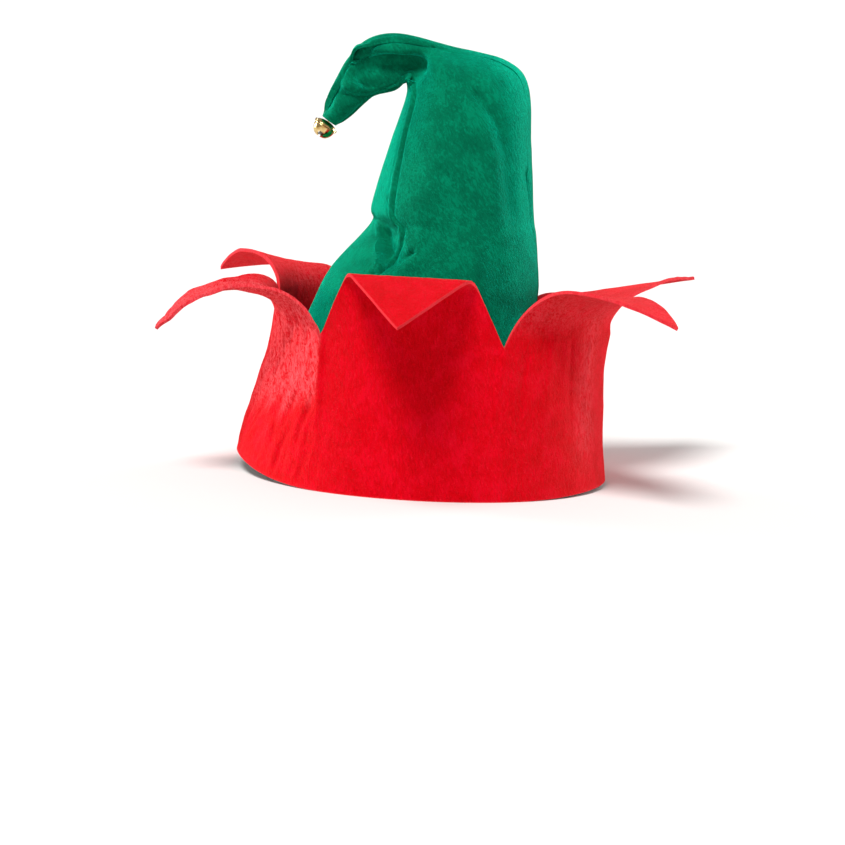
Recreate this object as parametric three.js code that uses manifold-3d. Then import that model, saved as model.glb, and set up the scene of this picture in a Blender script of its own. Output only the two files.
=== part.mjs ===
// Elf hat in felt: a two-panel cone with its peak folded forward, a red cuff with six
// outward-curling points, and a brass jingle bell at the peak. Millimetres, +Z up.
// The front faces -Y and the hat's left side is +X. The rim rests on Z = 0.
import * as THREE from "three";
import { mergeVertices } from "three/addons/utils/BufferGeometryUtils.js";
import Module from "manifold-3d";

// Driving dimensions, in millimetres unless said otherwise
const rimLength = 203; // outside of the cuff at the rim, front to back
const rimWidth = 162; // outside of the cuff at the rim, side to side
const frontLift = 9.5; // how far the rim arches off the ground at the front centre
const backLift = 2.5; // and at the back centre
const cuffHeight = 82; // rim to the notches, along the felt
const pointHeight = 94; // notch to the tip of a full point, along the felt
const pointStraighten = 52; // length in which a point loses the wall's roundness
const pointRoundness = 1.08; // 1 for straight cut edges, more for rounded ones
const cuffFelt = 1.8;
const crownFelt = 1.6;
const feltGap = 0.6; // cuff to crown at the rim
const seamGap = 0.5; // panel to panel along the crown's seams
const crownHeight = 239; // rim to the top of the fold
const creaseLimit = 0.6; // the most that creases take off a half width, as a share
const bellDiameter = 12.4;
const bellFlange = 0.8; // how far the crimped flange stands out
const bellTopHeight = 2.4;
const bellBottomHeight = 6.8;
const bellFullness = 0.7; // 1 for a bottom like half an egg, less for a boxier one
const bellLean = 32; // degrees the bell hangs forward of straight down
const brassSheet = 0.5;
const bellGap = 0.3; // half to half, pellet to shell, and bell to felt
const slotWidth = 1.2;
const slotHole = 3.2; // round end of each slot
const slotReach = 4.65; // bell's middle line to the middle of a slot's end
const shankWire = 1;
const shankHeight = 3;
const shankWidth = 2.4; // between the middles of the shank's two legs
const pelletDiameter = 4;

// Grid densities
const columnsPerPoint = 12;
const wallRows = 5;
const curlRows = 15;
const crownRows = 37;
const crownColumns = 16;
const bellSides = 18;

const clamp01 = (x) => Math.min(1, Math.max(0, x));
const smooth = (x) => clamp01(x) ** 2 * (3 - 2 * clamp01(x));
const radians = THREE.MathUtils.degToRad;
const upright = new THREE.Vector3(0, 0, 1);
const alongY = new THREE.Vector3(0, 1, 0);

// Reads a column of a table at a place between its rows, on a smooth curve.
function between(rows, column, place) {
  const points = rows.map((row) => new THREE.Vector3(row[column], 0, 0));
  const curve = new THREE.CatmullRomCurve3(points, false, "catmullrom", 0.5);
  return curve.getPoint(clamp01(place)).x;
}

// Cuff wall, rows evenly spaced up the felt from the rim to the notches. frontLean, backLean:
// how far the wall leans in at the front and back centres, shares of rimLength. half: half
// width, share of the rim's half width.
const wallSections = [
  { frontLean: 0, backLean: 0, half: 1 },
  { frontLean: 0.022, backLean: 0.013, half: 0.994 },
  { frontLean: 0.049, backLean: 0.017, half: 0.98 },
  { frontLean: 0.077, backLean: 0.024, half: 0.97 },
  { frontLean: 0.088, backLean: 0.015, half: 0.96 },
];

// The six points in order from the front centre round the hat's left side. start: where the
// point's first notch lies, a share of the way round the rim. cut: length of the point, share
// of pointHeight. dip: how far its bent part reaches below the notches in its middle, share of
// cuffHeight. bendFrom, bendTo: where the outward bend starts and ends, shares of the bent
// length. bend, tip: angles from upright at the bend's end and at the tip. turn: twist round an
// upright line, counter-clockwise from above. roll: how far the second side edge is lifted
// over the first. These four are in degrees.
const pointCurls = [
  { start: -0.019, cut: 0.88, dip: 0.1, bendFrom: 0, bendTo: 0.39, bend: 84, tip: 148, turn: -3, roll: 14 },
  { start: 0.14, cut: 1, dip: 0, bendFrom: 0.28, bendTo: 0.47, bend: 108, tip: 116, turn: 0, roll: 0 },
  { start: 0.322, cut: 0.99, dip: 0.06, bendFrom: 0, bendTo: 0.56, bend: 92, tip: 114, turn: -4, roll: -9 },
  { start: 0.484, cut: 1.03, dip: 0.085, bendFrom: 0, bendTo: 0.29, bend: 80, tip: 89, turn: 12, roll: -13 },
  { start: 0.655, cut: 1, dip: 0, bendFrom: 0.26, bendTo: 0.48, bend: 106, tip: 118, turn: 0, roll: 0 },
  { start: 0.83, cut: 0.98, dip: 0, bendFrom: 0.06, bendTo: 0.38, bend: 92, tip: 112, turn: -14, roll: 5 },
];

// Crown above the rim, row by row to the end of the peak. frontY, backY: shares of rimLength.
// frontZ, backZ: shares of crownHeight. half: half width, share of rimWidth. point: 1 for a
// round section, more for one drawn out to its seams.
const crownSections = [
  { frontY: -0.404, frontZ: 0.2, backY: 0.399, backZ: 0.165, half: 0.44, point: 1 },
  { frontY: -0.325, frontZ: 0.351, backY: 0.294, backZ: 0.351, half: 0.365, point: 1 },
  { frontY: -0.269, frontZ: 0.46, backY: 0.286, backZ: 0.456, half: 0.315, point: 1 },
  { frontY: -0.165, frontZ: 0.571, backY: 0.274, backZ: 0.556, half: 0.255, point: 1 },
  { frontY: -0.165, frontZ: 0.615, backY: 0.262, backZ: 0.611, half: 0.24, point: 1 },
  { frontY: -0.126, frontZ: 0.749, backY: 0.247, backZ: 0.762, half: 0.205, point: 1.1 },
  { frontY: -0.091, frontZ: 0.849, backY: 0.23, backZ: 0.895, half: 0.168, point: 1.15 },
  { frontY: -0.086, frontZ: 0.886, backY: 0.172, backZ: 0.95, half: 0.135, point: 1.2 },
  { frontY: -0.099, frontZ: 0.9, backY: 0.03, backZ: 0.977, half: 0.105, point: 1.2 },
  { frontY: -0.126, frontZ: 0.881, backY: -0.133, backZ: 1, half: 0.082, point: 1.25 },
  { frontY: -0.186, frontZ: 0.86, backY: -0.225, backZ: 0.967, half: 0.062, point: 1.25 },
  { frontY: -0.238, frontZ: 0.818, backY: -0.279, backZ: 0.879, half: 0.044, point: 1.2 },
  { frontY: -0.276, frontZ: 0.791, backY: -0.307, backZ: 0.808, half: 0.02, point: 1 },
];

// The crown's seams, rows evenly spaced from the rim to the end of the peak. front, back: how
// far round to the hat's left each seam lies, in degrees.
const crownSeams = [
  { front: 28, back: 0 },
  { front: 38, back: 2 },
  { front: 58, back: 8 },
  { front: 45, back: 18 },
  { front: 34, back: 22 },
  { front: 30, back: 28 },
  { front: 24, back: 42 },
  { front: 10, back: 42 },
  { front: 0, back: 12 },
];

// Creases pressed into a crown panel. The line runs from fromY, fromZ to toY, toZ, seen from
// the side, as shares of rimLength and crownHeight. width and depth: shares of rimWidth.
// side: 1 for the left panel, -1 for the right.
const crownCreases = [
  { side: 1, fromY: -0.197, fromZ: 0.905, toY: -0.069, toZ: 0.935, width: 0.045, depth: 0.055 },
  { side: -1, fromY: -0.187, fromZ: 0.91, toY: -0.069, toZ: 0.93, width: 0.045, depth: 0.04 },
  { side: 1, fromY: -0.172, fromZ: 0.57, toY: -0.079, toZ: 0.477, width: 0.085, depth: 0.028 },
  { side: 1, fromY: -0.079, fromZ: 0.477, toY: -0.158, toZ: 0.43, width: 0.085, depth: 0.012 },
  { side: -1, fromY: -0.158, fromZ: 0.57, toY: 0.02, toZ: 0.53, width: 0.085, depth: 0.035 },
];

// Middle line of the cuff's felt at the rim, an oval that starts at the front centre.
const halfLength = rimLength / 2 - cuffFelt / 2;
const halfWidth = rimWidth / 2 - cuffFelt / 2;
const rimOval = new THREE.EllipseCurve(0, 0, halfLength, halfWidth, 0, 2 * Math.PI);
rimOval.arcLengthDivisions = 720;
const rimArc = rimOval.getLength();
const pointCount = pointCurls.length;

// Arc length from the front centre to where a point starts; the last one's end meets the first.
const startArc = (index) =>
  (pointCurls[index % pointCount].start + Math.floor(index / pointCount)) * rimArc;

// Angle round the oval, from the front centre towards the hat's left, at an arc length.
function angleAt(arc) {
  const share = (arc / rimArc) % 1;
  return 2 * Math.PI * rimOval.getUtoTmapping(share < 0 ? share + 1 : share);
}

// How far the rim stands off the ground at an angle round the oval. Each arch spans the
// ends of the oval from where the cosine of the angle reaches its from.
function rimLift(angle) {
  const arches = [
    { height: frontLift, end: Math.cos(angle), from: 0.3, steepness: 4 },
    { height: backLift, end: -Math.cos(angle), from: 0.5, steepness: 1.5 },
  ];
  let lift = 0;
  for (const { height, end, from, steepness } of arches) {
    lift += height * clamp01((end - from) / (1 - from)) ** steepness;
  }
  return lift;
}

// Middle of the cuff's wall at an angle round the oval and a height along the felt.
function wallPoint(angle, height) {
  const place = height / cuffHeight;
  const toFront = Math.max(0, Math.cos(angle)) ** 3;
  const toBack = Math.max(0, -Math.cos(angle)) ** 3;
  const lean =
    between(wallSections, "frontLean", place) * toFront -
    between(wallSections, "backLean", place) * toBack;
  return new THREE.Vector3(
    between(wallSections, "half", place) * halfWidth * Math.sin(angle),
    -halfLength * Math.cos(angle) + lean * rimLength,
    height + rimLift(angle),
  );
}

// Length of a point's bent felt up its middle, from where it leaves the wall to its tip.
const bentLength = (curl) => curl.cut * pointHeight + curl.dip * cuffHeight;

// Angle of a curled point's felt from upright, at a share of its bent length.
function bendAt(curl, share) {
  if (share < curl.bendTo) {
    return radians(curl.bend) * smooth((share - curl.bendFrom) / (curl.bendTo - curl.bendFrom));
  }
  const rest = (share - curl.bendTo) / (1 - curl.bendTo);
  return radians(curl.bend + (curl.tip - curl.bend) * rest);
}

// How far out and up the felt of a curled point gets in a length along it.
function curlReach(curl, length) {
  const steps = 48;
  const reach = { out: 0, up: 0 };
  for (let step = 0; step < steps; step++) {
    const bend = bendAt(curl, (((step + 0.5) / steps) * length) / bentLength(curl));
    reach.out += (Math.sin(bend) * length) / steps;
    reach.up += (Math.cos(bend) * length) / steps;
  }
  return reach;
}

// Height of a point's cut edge over its notches, at a share of the half width from its middle.
const edgeHeight = (curl, share) =>
  curl.cut * pointHeight * (1 - Math.abs(share) ** pointRoundness);

// How far the bent part of a point reaches below its notches, at the same share.
const dipDepth = (curl, share) => curl.dip * cuffHeight * (1 - share * share);

// Lengths of a point's rows up the felt, closer together where it bends.
function rowLengths(curl) {
  const samples = 120;
  const careForBend = 0.6;
  const weights = [0];
  for (let sample = 1; sample <= samples; sample++) {
    const bent = Math.abs(bendAt(curl, sample / samples) - bendAt(curl, (sample - 1) / samples));
    weights.push(weights[sample - 1] + 1 / samples + careForBend * bent);
  }
  const lengths = [];
  for (let row = 1; row <= curlRows; row++) {
    const wanted = (weights[samples] * row) / curlRows;
    const reached = weights.findIndex((weight) => weight >= wanted - 1e-9);
    const part = (wanted - weights[reached - 1]) / (weights[reached] - weights[reached - 1]);
    lengths.push(((reached - 1 + part) / samples) * bentLength(curl));
  }
  return lengths;
}

// Middle of the felt in a point, at a share of the half width from its middle (-1 to 1) and
// a length above the line where it leaves the wall.
function curledPoint(index, share, length) {
  const curl = pointCurls[index];
  const pitch = startArc(index + 1) - startArc(index);
  const middleArc = startArc(index) + pitch / 2;
  const offset = (share * pitch) / 2;
  const root = wallPoint(angleAt(middleArc + offset), cuffHeight - dipDepth(curl, share));
  const middle = wallPoint(angleAt(middleArc), cuffHeight);
  const step = pitch / 100;
  const side = wallPoint(angleAt(middleArc + step), cuffHeight)
    .sub(wallPoint(angleAt(middleArc - step), cuffHeight))
    .setZ(0)
    .normalize();
  const outward = new THREE.Vector3(side.y, -side.x, 0);
  const local = root.clone().sub(middle);
  const flat = smooth(length / pointStraighten);
  const { out, up } = curlReach(curl, length);
  const twist = radians(curl.turn) * flat;
  const lift = offset * Math.sin(radians(curl.roll)) * flat;
  side.applyAxisAngle(upright, twist);
  outward.applyAxisAngle(upright, twist);
  return middle
    .clone()
    .addScaledVector(side, THREE.MathUtils.lerp(local.dot(side), offset, flat))
    .addScaledVector(outward, local.dot(outward) * (1 - flat) + out)
    .addScaledVector(upright, local.z + up + lift);
}

// The crown's first row sits inside the cuff at the rim, just off the ground.
const rimInset = cuffFelt / 2 + feltGap + crownFelt / 2;
const crownStart = 0.7;
const crownRowsTable = [
  {
    frontY: (rimInset - halfLength) / rimLength,
    frontZ: crownStart / crownHeight,
    backY: (halfLength - rimInset) / rimLength,
    backZ: crownStart / crownHeight,
    half: (halfWidth - rimInset) / rimWidth,
    point: 1,
  },
  ...crownSections,
];

// Middle of the crown's felt: place 0 to 1 from the rim to the end of the peak, turn in
// radians from the front edge round the hat's left to the back edge and on.
function crownPoint(place, turn) {
  const read = (column) => between(crownRowsTable, column, place);
  const front = new THREE.Vector3(0, read("frontY") * rimLength, read("frontZ") * crownHeight);
  const back = new THREE.Vector3(0, read("backY") * rimLength, read("backZ") * crownHeight);
  const sine = Math.sin(turn);
  const point = front.lerp(back, (1 - Math.cos(turn)) / 2);
  point.x = Math.sign(sine) * read("half") * rimWidth * Math.abs(sine) ** read("point");
  point.z += rimLift(turn) * (1 - clamp01(place * crownSections.length));
  return pressCreases(point);
}

// Pushes a point of the crown inwards where creases pass, by their depth.
function pressCreases(point) {
  for (const crease of crownCreases) {
    if (crease.side * point.x < 0) continue;
    const from = new THREE.Vector2(crease.fromY * rimLength, crease.fromZ * crownHeight);
    const to = new THREE.Vector2(crease.toY * rimLength, crease.toZ * crownHeight);
    const line = to.clone().sub(from);
    const here = new THREE.Vector2(point.y, point.z);
    const along = clamp01(here.clone().sub(from).dot(line) / line.lengthSq());
    const away = here.distanceTo(from.addScaledVector(line, along)) / (crease.width * rimWidth);
    const push = crease.depth * rimWidth * Math.exp(-away * away);
    point.x -= Math.sign(point.x) * Math.min(push, Math.abs(point.x) * creaseLimit);
  }
  return point;
}

// Closed body of felt round a grid of middle points, grid[row][column]. A ring joins its last
// column to its first. Points that fall together, as at a notch, become one. An open sheet's
// before and after hold what lies beyond its side edges, so that a neighbour's edge matches.
function feltBody(grid, wall, { ring = false, squareRim = false, before, after }) {
  const rows = grid.length;
  const columns = grid[0].length;
  const at = (row, column) => {
    const r = Math.min(rows - 1, Math.max(0, row));
    if (ring) return grid[r][(column + columns) % columns];
    if (column < 0) return before[r];
    if (column === columns) return after[r];
    return grid[r][column];
  };
  const positions = [];
  const indexOf = [];
  for (let row = 0; row < rows; row++) {
    indexOf.push([]);
    for (let column = 0; column < columns; column++) {
      const here = at(row, column);
      if (row > 0 && here.distanceTo(at(row - 1, column)) < 1e-6) {
        indexOf[row].push(indexOf[row - 1][column]);
        continue;
      }
      const along = at(row, column + 1).clone().sub(at(row, column - 1));
      let above = row + 1;
      if (here.distanceTo(at(above, column)) < 1e-6) above = row;
      const up = at(above, column).clone().sub(at(row - 1, column));
      const normal = along.cross(up).normalize();
      if (squareRim && row === 0) normal.setZ(0).normalize();
      indexOf[row].push(positions.length / 6);
      positions.push(...here.clone().addScaledVector(normal, wall / 2).toArray());
      positions.push(...here.clone().addScaledVector(normal, -wall / 2).toArray());
    }
  }
  const faces = [];
  const face = (...corners) => {
    const distinct = new Set(corners);
    if (distinct.size === 3) faces.push(...corners);
  };
  const quad = (a, b, c, d) => {
    face(a, b, c);
    face(a, c, d);
  };
  const lastColumn = ring ? columns : columns - 1;
  const outer = (row, column) => 2 * indexOf[row][column % columns];
  const inner = (row, column) => outer(row, column) + 1;
  for (let row = 0; row < rows - 1; row++) {
    for (let column = 0; column < lastColumn; column++) {
      const next = column + 1;
      quad(outer(row, column), outer(row, next), outer(row + 1, next), outer(row + 1, column));
      quad(inner(row, column), inner(row + 1, column), inner(row + 1, next), inner(row, next));
    }
  }
  for (let column = 0; column < lastColumn; column++) {
    const next = column + 1;
    const top = rows - 1;
    quad(outer(0, column), inner(0, column), inner(0, next), outer(0, next));
    quad(outer(top, column), outer(top, next), inner(top, next), inner(top, column));
  }
  if (!ring) {
    const edge = columns - 1;
    for (let row = 0; row < rows - 1; row++) {
      quad(outer(row, 0), outer(row + 1, 0), inner(row + 1, 0), inner(row, 0));
      quad(outer(row, edge), inner(row, edge), inner(row + 1, edge), outer(row + 1, edge));
    }
  }
  const geometry = new THREE.BufferGeometry();
  geometry.setAttribute("position", new THREE.Float32BufferAttribute(positions, 3));
  geometry.setIndex(faces);
  return geometry;
}

// The wall's rows are evenly spaced. A point's rows stop at its cut edge.
function cuffGeometry() {
  const grid = [];
  const lengths = pointCurls.map(rowLengths);
  for (let row = 0; row <= wallRows + curlRows; row++) {
    const line = [];
    for (let index = 0; index < pointCount; index++) {
      const curl = pointCurls[index];
      for (let column = 0; column < columnsPerPoint; column++) {
        const share = (2 * column) / columnsPerPoint - 1;
        const arc = THREE.MathUtils.lerp(startArc(index), startArc(index + 1), (share + 1) / 2);
        const dip = dipDepth(curl, share);
        if (row <= wallRows) {
          line.push(wallPoint(angleAt(arc), ((cuffHeight - dip) * row) / wallRows));
        } else {
          const length = Math.min(lengths[index][row - wallRows - 1], edgeHeight(curl, share) + dip);
          line.push(curledPoint(index, share, length));
        }
      }
    }
    grid.push(line);
  }
  return feltBody(grid, cuffFelt, { ring: true, squareRim: true });
}

// Turn of the front or back seam at a place along the crown.
function seamTurn(seam, place) {
  const turn = radians(between(crownSeams, seam, place));
  return seam === "front" ? turn : Math.PI - turn;
}

// Direction that a seam runs in at a place along the crown.
function seamDirection(seam, place) {
  const step = 0.25 / crownRows;
  const [low, high] = [clamp01(place - step), clamp01(place + step)];
  return crownPoint(high, seamTurn(seam, high)).sub(crownPoint(low, seamTurn(seam, low)));
}

// Draws an edge point back from the seam by half the gap, square to the seam.
function openSeam(edge, far, near, direction) {
  const away = near.clone().sub(far).projectOnPlane(direction.normalize());
  edge.addScaledVector(away.normalize(), seamGap / 2);
}

// One panel of the crown: side 1 is the left, -1 the right.
function crownPanel(side) {
  const grid = [];
  const before = [];
  const after = [];
  const [firstSeam, lastSeam] = side > 0 ? ["front", "back"] : ["back", "front"];
  for (let row = 0; row <= crownRows; row++) {
    const place = row / crownRows;
    const from = seamTurn(firstSeam, place);
    const to = seamTurn(lastSeam, place) + (side > 0 ? 0 : 2 * Math.PI);
    const step = (to - from) / crownColumns;
    const line = [];
    for (let column = 0; column <= crownColumns; column++) {
      line.push(crownPoint(place, from + step * column));
    }
    before.push(crownPoint(place, from - step));
    after.push(crownPoint(place, to + step));
    openSeam(line[0], before[row], line[1], seamDirection(firstSeam, place));
    openSeam(
      line[crownColumns],
      after[row],
      line[crownColumns - 1],
      seamDirection(lastSeam, place),
    );
    grid.push(line);
  }
  return feltBody(grid, crownFelt, { before, after });
}

const wasm = await Module();
wasm.setup();

// A closed geometry as a solid that can be joined or cut, and back again.
function solidOf(geometry) {
  const plain = geometry.clone();
  plain.deleteAttribute("normal");
  plain.deleteAttribute("uv");
  const merged = mergeVertices(plain, 1e-4);
  return new wasm.Manifold(
    new wasm.Mesh({
      numProp: 3,
      vertProperties: merged.attributes.position.array,
      triVerts: new Uint32Array(merged.index.array),
    }),
  );
}

function geometryOf(solid) {
  const mesh = solid.getMesh();
  const geometry = new THREE.BufferGeometry();
  geometry.setAttribute("position", new THREE.BufferAttribute(mesh.vertProperties, 3));
  geometry.setIndex(new THREE.BufferAttribute(mesh.triVerts, 1));
  return geometry;
}

// Bell, upright about Z with its crimped seam at Z = 0.
const bellRadius = bellDiameter / 2;
const flangeRadius = bellRadius + bellFlange;

// Outline of a dome from its edge to its middle, inset from the bell's outside.
function domeProfile(height, fullness, inset, steps) {
  const points = [];
  for (let step = 0; step <= steps; step++) {
    const angle = ((Math.PI / 2) * step) / steps;
    const radius = (bellRadius - inset) * Math.cos(angle) ** fullness;
    points.push(new THREE.Vector2(radius, (height - inset) * Math.sin(angle)));
  }
  points[steps].x = 0;
  return points;
}

// Half a bell's shell: a dome with its crimped flange, spun about Z.
function shellGeometry(height, fullness, steps) {
  const inside = domeProfile(height, fullness, brassSheet, steps);
  const outside = domeProfile(height, fullness, 0, steps);
  outside[0].y = brassSheet;
  const profile = [
    ...inside.reverse(),
    new THREE.Vector2(flangeRadius, 0),
    new THREE.Vector2(flangeRadius, brassSheet),
    ...outside,
  ];
  return new THREE.LatheGeometry(profile, bellSides).rotateX(Math.PI / 2);
}

// The shank is a wire arch whose legs run into the sheet.
function bellTop() {
  const leg = shankWidth / 2;
  const shoulder = bellTopHeight + shankHeight / 2;
  const arch = new THREE.CatmullRomCurve3([
    new THREE.Vector3(-leg, 0, bellTopHeight - brassSheet / 2),
    new THREE.Vector3(-leg, 0, shoulder),
    new THREE.Vector3(0, 0, bellTopHeight + shankHeight - shankWire / 2),
    new THREE.Vector3(leg, 0, shoulder),
    new THREE.Vector3(leg, 0, bellTopHeight - brassSheet / 2),
  ]);
  const wireSection = new THREE.Shape().absarc(0, 0, shankWire / 2, 0, 2 * Math.PI);
  const wire = new THREE.ExtrudeGeometry(wireSection, {
    steps: 12,
    curveSegments: 4,
    extrudePath: arch,
  });
  return geometryOf(solidOf(shellGeometry(bellTopHeight, 1, 5)).add(solidOf(wire)));
}

// Two crossed slots, each with a round hole at both ends.
function bellBottom() {
  let solid = solidOf(shellGeometry(bellBottomHeight, bellFullness, 7));
  const holeTowards = new THREE.Vector3(slotReach, 0, bellBottomHeight * 0.7);
  for (const turn of [0, Math.PI / 2]) {
    const slot = new THREE.BoxGeometry(2 * slotReach, slotWidth, bellBottomHeight);
    slot.translate(0, 0, bellBottomHeight);
    slot.rotateZ(turn);
    solid = solid.subtract(solidOf(slot));
    for (const side of [-1, 1]) {
      const towards = holeTowards.clone().normalize();
      towards.x *= side;
      towards.applyAxisAngle(upright, turn);
      const hole = new THREE.CylinderGeometry(slotHole / 2, slotHole / 2, bellDiameter, 10);
      hole.translate(0, bellRadius, 0);
      hole.applyQuaternion(new THREE.Quaternion().setFromUnitVectors(alongY, towards));
      solid = solid.subtract(solidOf(hole));
    }
  }
  return geometryOf(solid).rotateX(Math.PI).translate(0, 0, -bellGap);
}

const feltRed = new THREE.MeshStandardMaterial({ color: 0xdc0418, roughness: 0.95 });
const feltGreen = new THREE.MeshStandardMaterial({ color: 0x048a5e, roughness: 0.95 });
const brass = new THREE.MeshStandardMaterial({ color: 0xd9a441, roughness: 0.2, metalness: 1 });
const steel = new THREE.MeshStandardMaterial({ color: 0x9a9a9a, roughness: 0.4, metalness: 1 });

function named(name, geometry, material) {
  const mesh = new THREE.Mesh(geometry, material);
  mesh.name = name;
  return mesh;
}

// The bell hangs from the open end of the peak, its shank inside the felt.
function bellGroup() {
  const bell = new THREE.Group();
  bell.add(named("bell_top", bellTop(), brass));
  bell.add(named("bell_bottom", bellBottom(), brass));
  const pellet = new THREE.IcosahedronGeometry(pelletDiameter / 2, 2);
  const pelletDrop = bellBottomHeight - brassSheet - pelletDiameter / 2;
  bell.add(named("bell_pellet", pellet.translate(0, 0, -pelletDrop), steel));
  const down = new THREE.Vector3(0, -Math.sin(radians(bellLean)), -Math.cos(radians(bellLean)));
  bell.quaternion.setFromUnitVectors(new THREE.Vector3(0, 0, -1), down);
  const peakEnd = crownPoint(1, 0).add(crownPoint(1, Math.PI)).divideScalar(2);
  bell.position.copy(peakEnd.addScaledVector(down, bellTopHeight + brassSheet + bellGap));
  return bell;
}

const hat = new THREE.Group();
hat.add(named("crown_left_panel", crownPanel(1), feltGreen));
hat.add(named("crown_right_panel", crownPanel(-1), feltGreen));
hat.add(named("cuff", cuffGeometry(), feltRed));
hat.add(bellGroup());

// The origin is the middle of the hat's footprint, on the ground.
const bounds = new THREE.Box3().setFromObject(hat, true);
const middle = bounds.getCenter(new THREE.Vector3());
hat.position.set(-middle.x, -middle.y, -bounds.min.z);

export default hat;
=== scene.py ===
# Elf hat: a two-panel felt cone with a folded peak, a cuff with curled points, and a jingle bell.
import bisect
import functools
import math

import bmesh
import bpy
from mathutils import Matrix, Vector, noise


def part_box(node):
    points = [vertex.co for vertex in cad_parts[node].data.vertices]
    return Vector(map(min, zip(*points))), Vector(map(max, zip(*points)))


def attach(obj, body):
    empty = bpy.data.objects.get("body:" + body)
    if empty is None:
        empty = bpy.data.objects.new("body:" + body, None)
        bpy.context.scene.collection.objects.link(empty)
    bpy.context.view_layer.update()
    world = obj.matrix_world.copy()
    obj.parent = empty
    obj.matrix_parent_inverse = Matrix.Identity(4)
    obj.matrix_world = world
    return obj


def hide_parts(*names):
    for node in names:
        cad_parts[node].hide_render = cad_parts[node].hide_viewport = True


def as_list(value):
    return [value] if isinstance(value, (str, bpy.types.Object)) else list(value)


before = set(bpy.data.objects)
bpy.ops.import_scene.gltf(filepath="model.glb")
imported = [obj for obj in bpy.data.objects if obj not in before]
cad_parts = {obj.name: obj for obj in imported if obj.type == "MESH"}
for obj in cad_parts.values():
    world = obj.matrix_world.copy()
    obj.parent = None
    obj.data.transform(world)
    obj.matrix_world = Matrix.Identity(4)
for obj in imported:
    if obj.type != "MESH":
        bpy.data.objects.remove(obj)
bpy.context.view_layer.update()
tau = 2 * math.pi
mm = 0.001

# sizes shared by the felt pieces, in millimetres
hat = {
    "rimLength": 203,
    "rimWidth": 162,
    "frontLift": 9.5,
    "backLift": 2.5,
    "cuffHeight": 82,
    "pointHeight": 94,
    "pointStraighten": 52,  # length in which a point loses the wall's roundness
    "pointRoundness": 1.08,  # 1 for straight cut edges, more for rounded ones
    "cuffFelt": 1.8,
    "crownFelt": 1.6,
    "feltGap": 0.6,
    "seamGap": 0.5,
    "crownHeight": 239,
    "crownStart": 0.7,
    "creaseLimit": 0.6,  # the most that creases take off a half width, as a share
}
halfLength = (hat["rimLength"] - hat["cuffFelt"]) / 2
halfWidth = (hat["rimWidth"] - hat["cuffFelt"]) / 2


def table(columns, *rows):
    return [dict(zip(columns.split(), row)) for row in rows]


def clamp01(x):
    return min(1, max(0, x))


def smooth(x):
    return clamp01(x) ** 2 * (3 - 2 * clamp01(x))


def lerp(a, b, share):
    return a + (b - a) * share


def distanceToLine(point, start, end):  # and how far along the line the nearest place is
    line = end - start
    along = clamp01((point - start).dot(line) / line.length_squared)
    return (point - start - line * along).length, along


def between(rows, column, place):  # smooth curve through a table's column, rows evenly spaced
    last = len(rows) - 1
    spot = clamp01(place) * last
    index = min(int(spot), last - 1)
    t = spot - index
    here, after = rows[index][column], rows[index + 1][column]
    before = rows[index - 1][column] if index > 0 else 2 * here - after
    beyond = rows[index + 2][column] if index + 2 <= last else 2 * after - here
    into, out = (after - before) / 2, (beyond - here) / 2
    square = 3 * (after - here) - 2 * into - out
    cube = 2 * (here - after) + into + out
    return here + into * t + square * t * t + cube * t**3


# cuff wall up the felt, rows evenly spaced from the rim to the notches. Leans are shares of
# rimLength and half a share of the rim's half width
wallSections = table(
    "frontLean backLean half",
    (0, 0, 1),
    (0.022, 0.013, 0.994),
    (0.049, 0.017, 0.98),
    (0.077, 0.024, 0.97),
    (0.088, 0.015, 0.96),
)

# the six points from the front centre round the hat's left side. start: share of the way round
# the rim. cut: share of pointHeight. dip: share of cuffHeight that the bent part reaches below the
# notches. bendFrom, bendTo: shares of the bent length. bend, tip, turn and roll are in degrees
pointCurls = table(
    "start cut dip bendFrom bendTo bend tip turn roll",
    (-0.019, 0.88, 0.1, 0, 0.39, 84, 148, -3, 14),
    (0.14, 1, 0, 0.28, 0.47, 108, 116, 0, 0),
    (0.322, 0.99, 0.06, 0, 0.56, 92, 114, -4, -9),
    (0.484, 1.03, 0.085, 0, 0.29, 80, 89, 12, -13),
    (0.655, 1, 0, 0.26, 0.48, 106, 118, 0, 0),
    (0.83, 0.98, 0, 0.06, 0.38, 92, 112, -14, 5),
)
pointCount = len(pointCurls)

# crown from the rim to the end of the peak, rows evenly spaced. Y: shares of rimLength. Z: shares
# of crownHeight. half: share of rimWidth. point: 1 for a round section, more for a pointed one
rimInset = hat["cuffFelt"] / 2 + hat["feltGap"] + hat["crownFelt"] / 2
startShare = hat["crownStart"] / hat["crownHeight"]
crownSections = table(
    "frontY frontZ backY backZ half point",
    (
        (rimInset - halfLength) / hat["rimLength"],
        startShare,
        (halfLength - rimInset) / hat["rimLength"],
        startShare,
        (halfWidth - rimInset) / hat["rimWidth"],
        1,
    ),
    (-0.404, 0.2, 0.399, 0.165, 0.44, 1),
    (-0.325, 0.351, 0.294, 0.351, 0.365, 1),
    (-0.269, 0.46, 0.286, 0.456, 0.315, 1),
    (-0.165, 0.571, 0.274, 0.556, 0.255, 1),
    (-0.165, 0.615, 0.262, 0.611, 0.24, 1),
    (-0.126, 0.749, 0.247, 0.762, 0.205, 1.1),
    (-0.091, 0.849, 0.23, 0.895, 0.168, 1.15),
    (-0.086, 0.886, 0.172, 0.95, 0.135, 1.2),
    (-0.099, 0.9, 0.03, 0.977, 0.105, 1.2),
    (-0.126, 0.881, -0.133, 1, 0.082, 1.25),
    (-0.186, 0.86, -0.225, 0.967, 0.062, 1.25),
    (-0.238, 0.818, -0.279, 0.879, 0.044, 1.2),
    (-0.276, 0.791, -0.307, 0.808, 0.02, 1),
)
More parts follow.
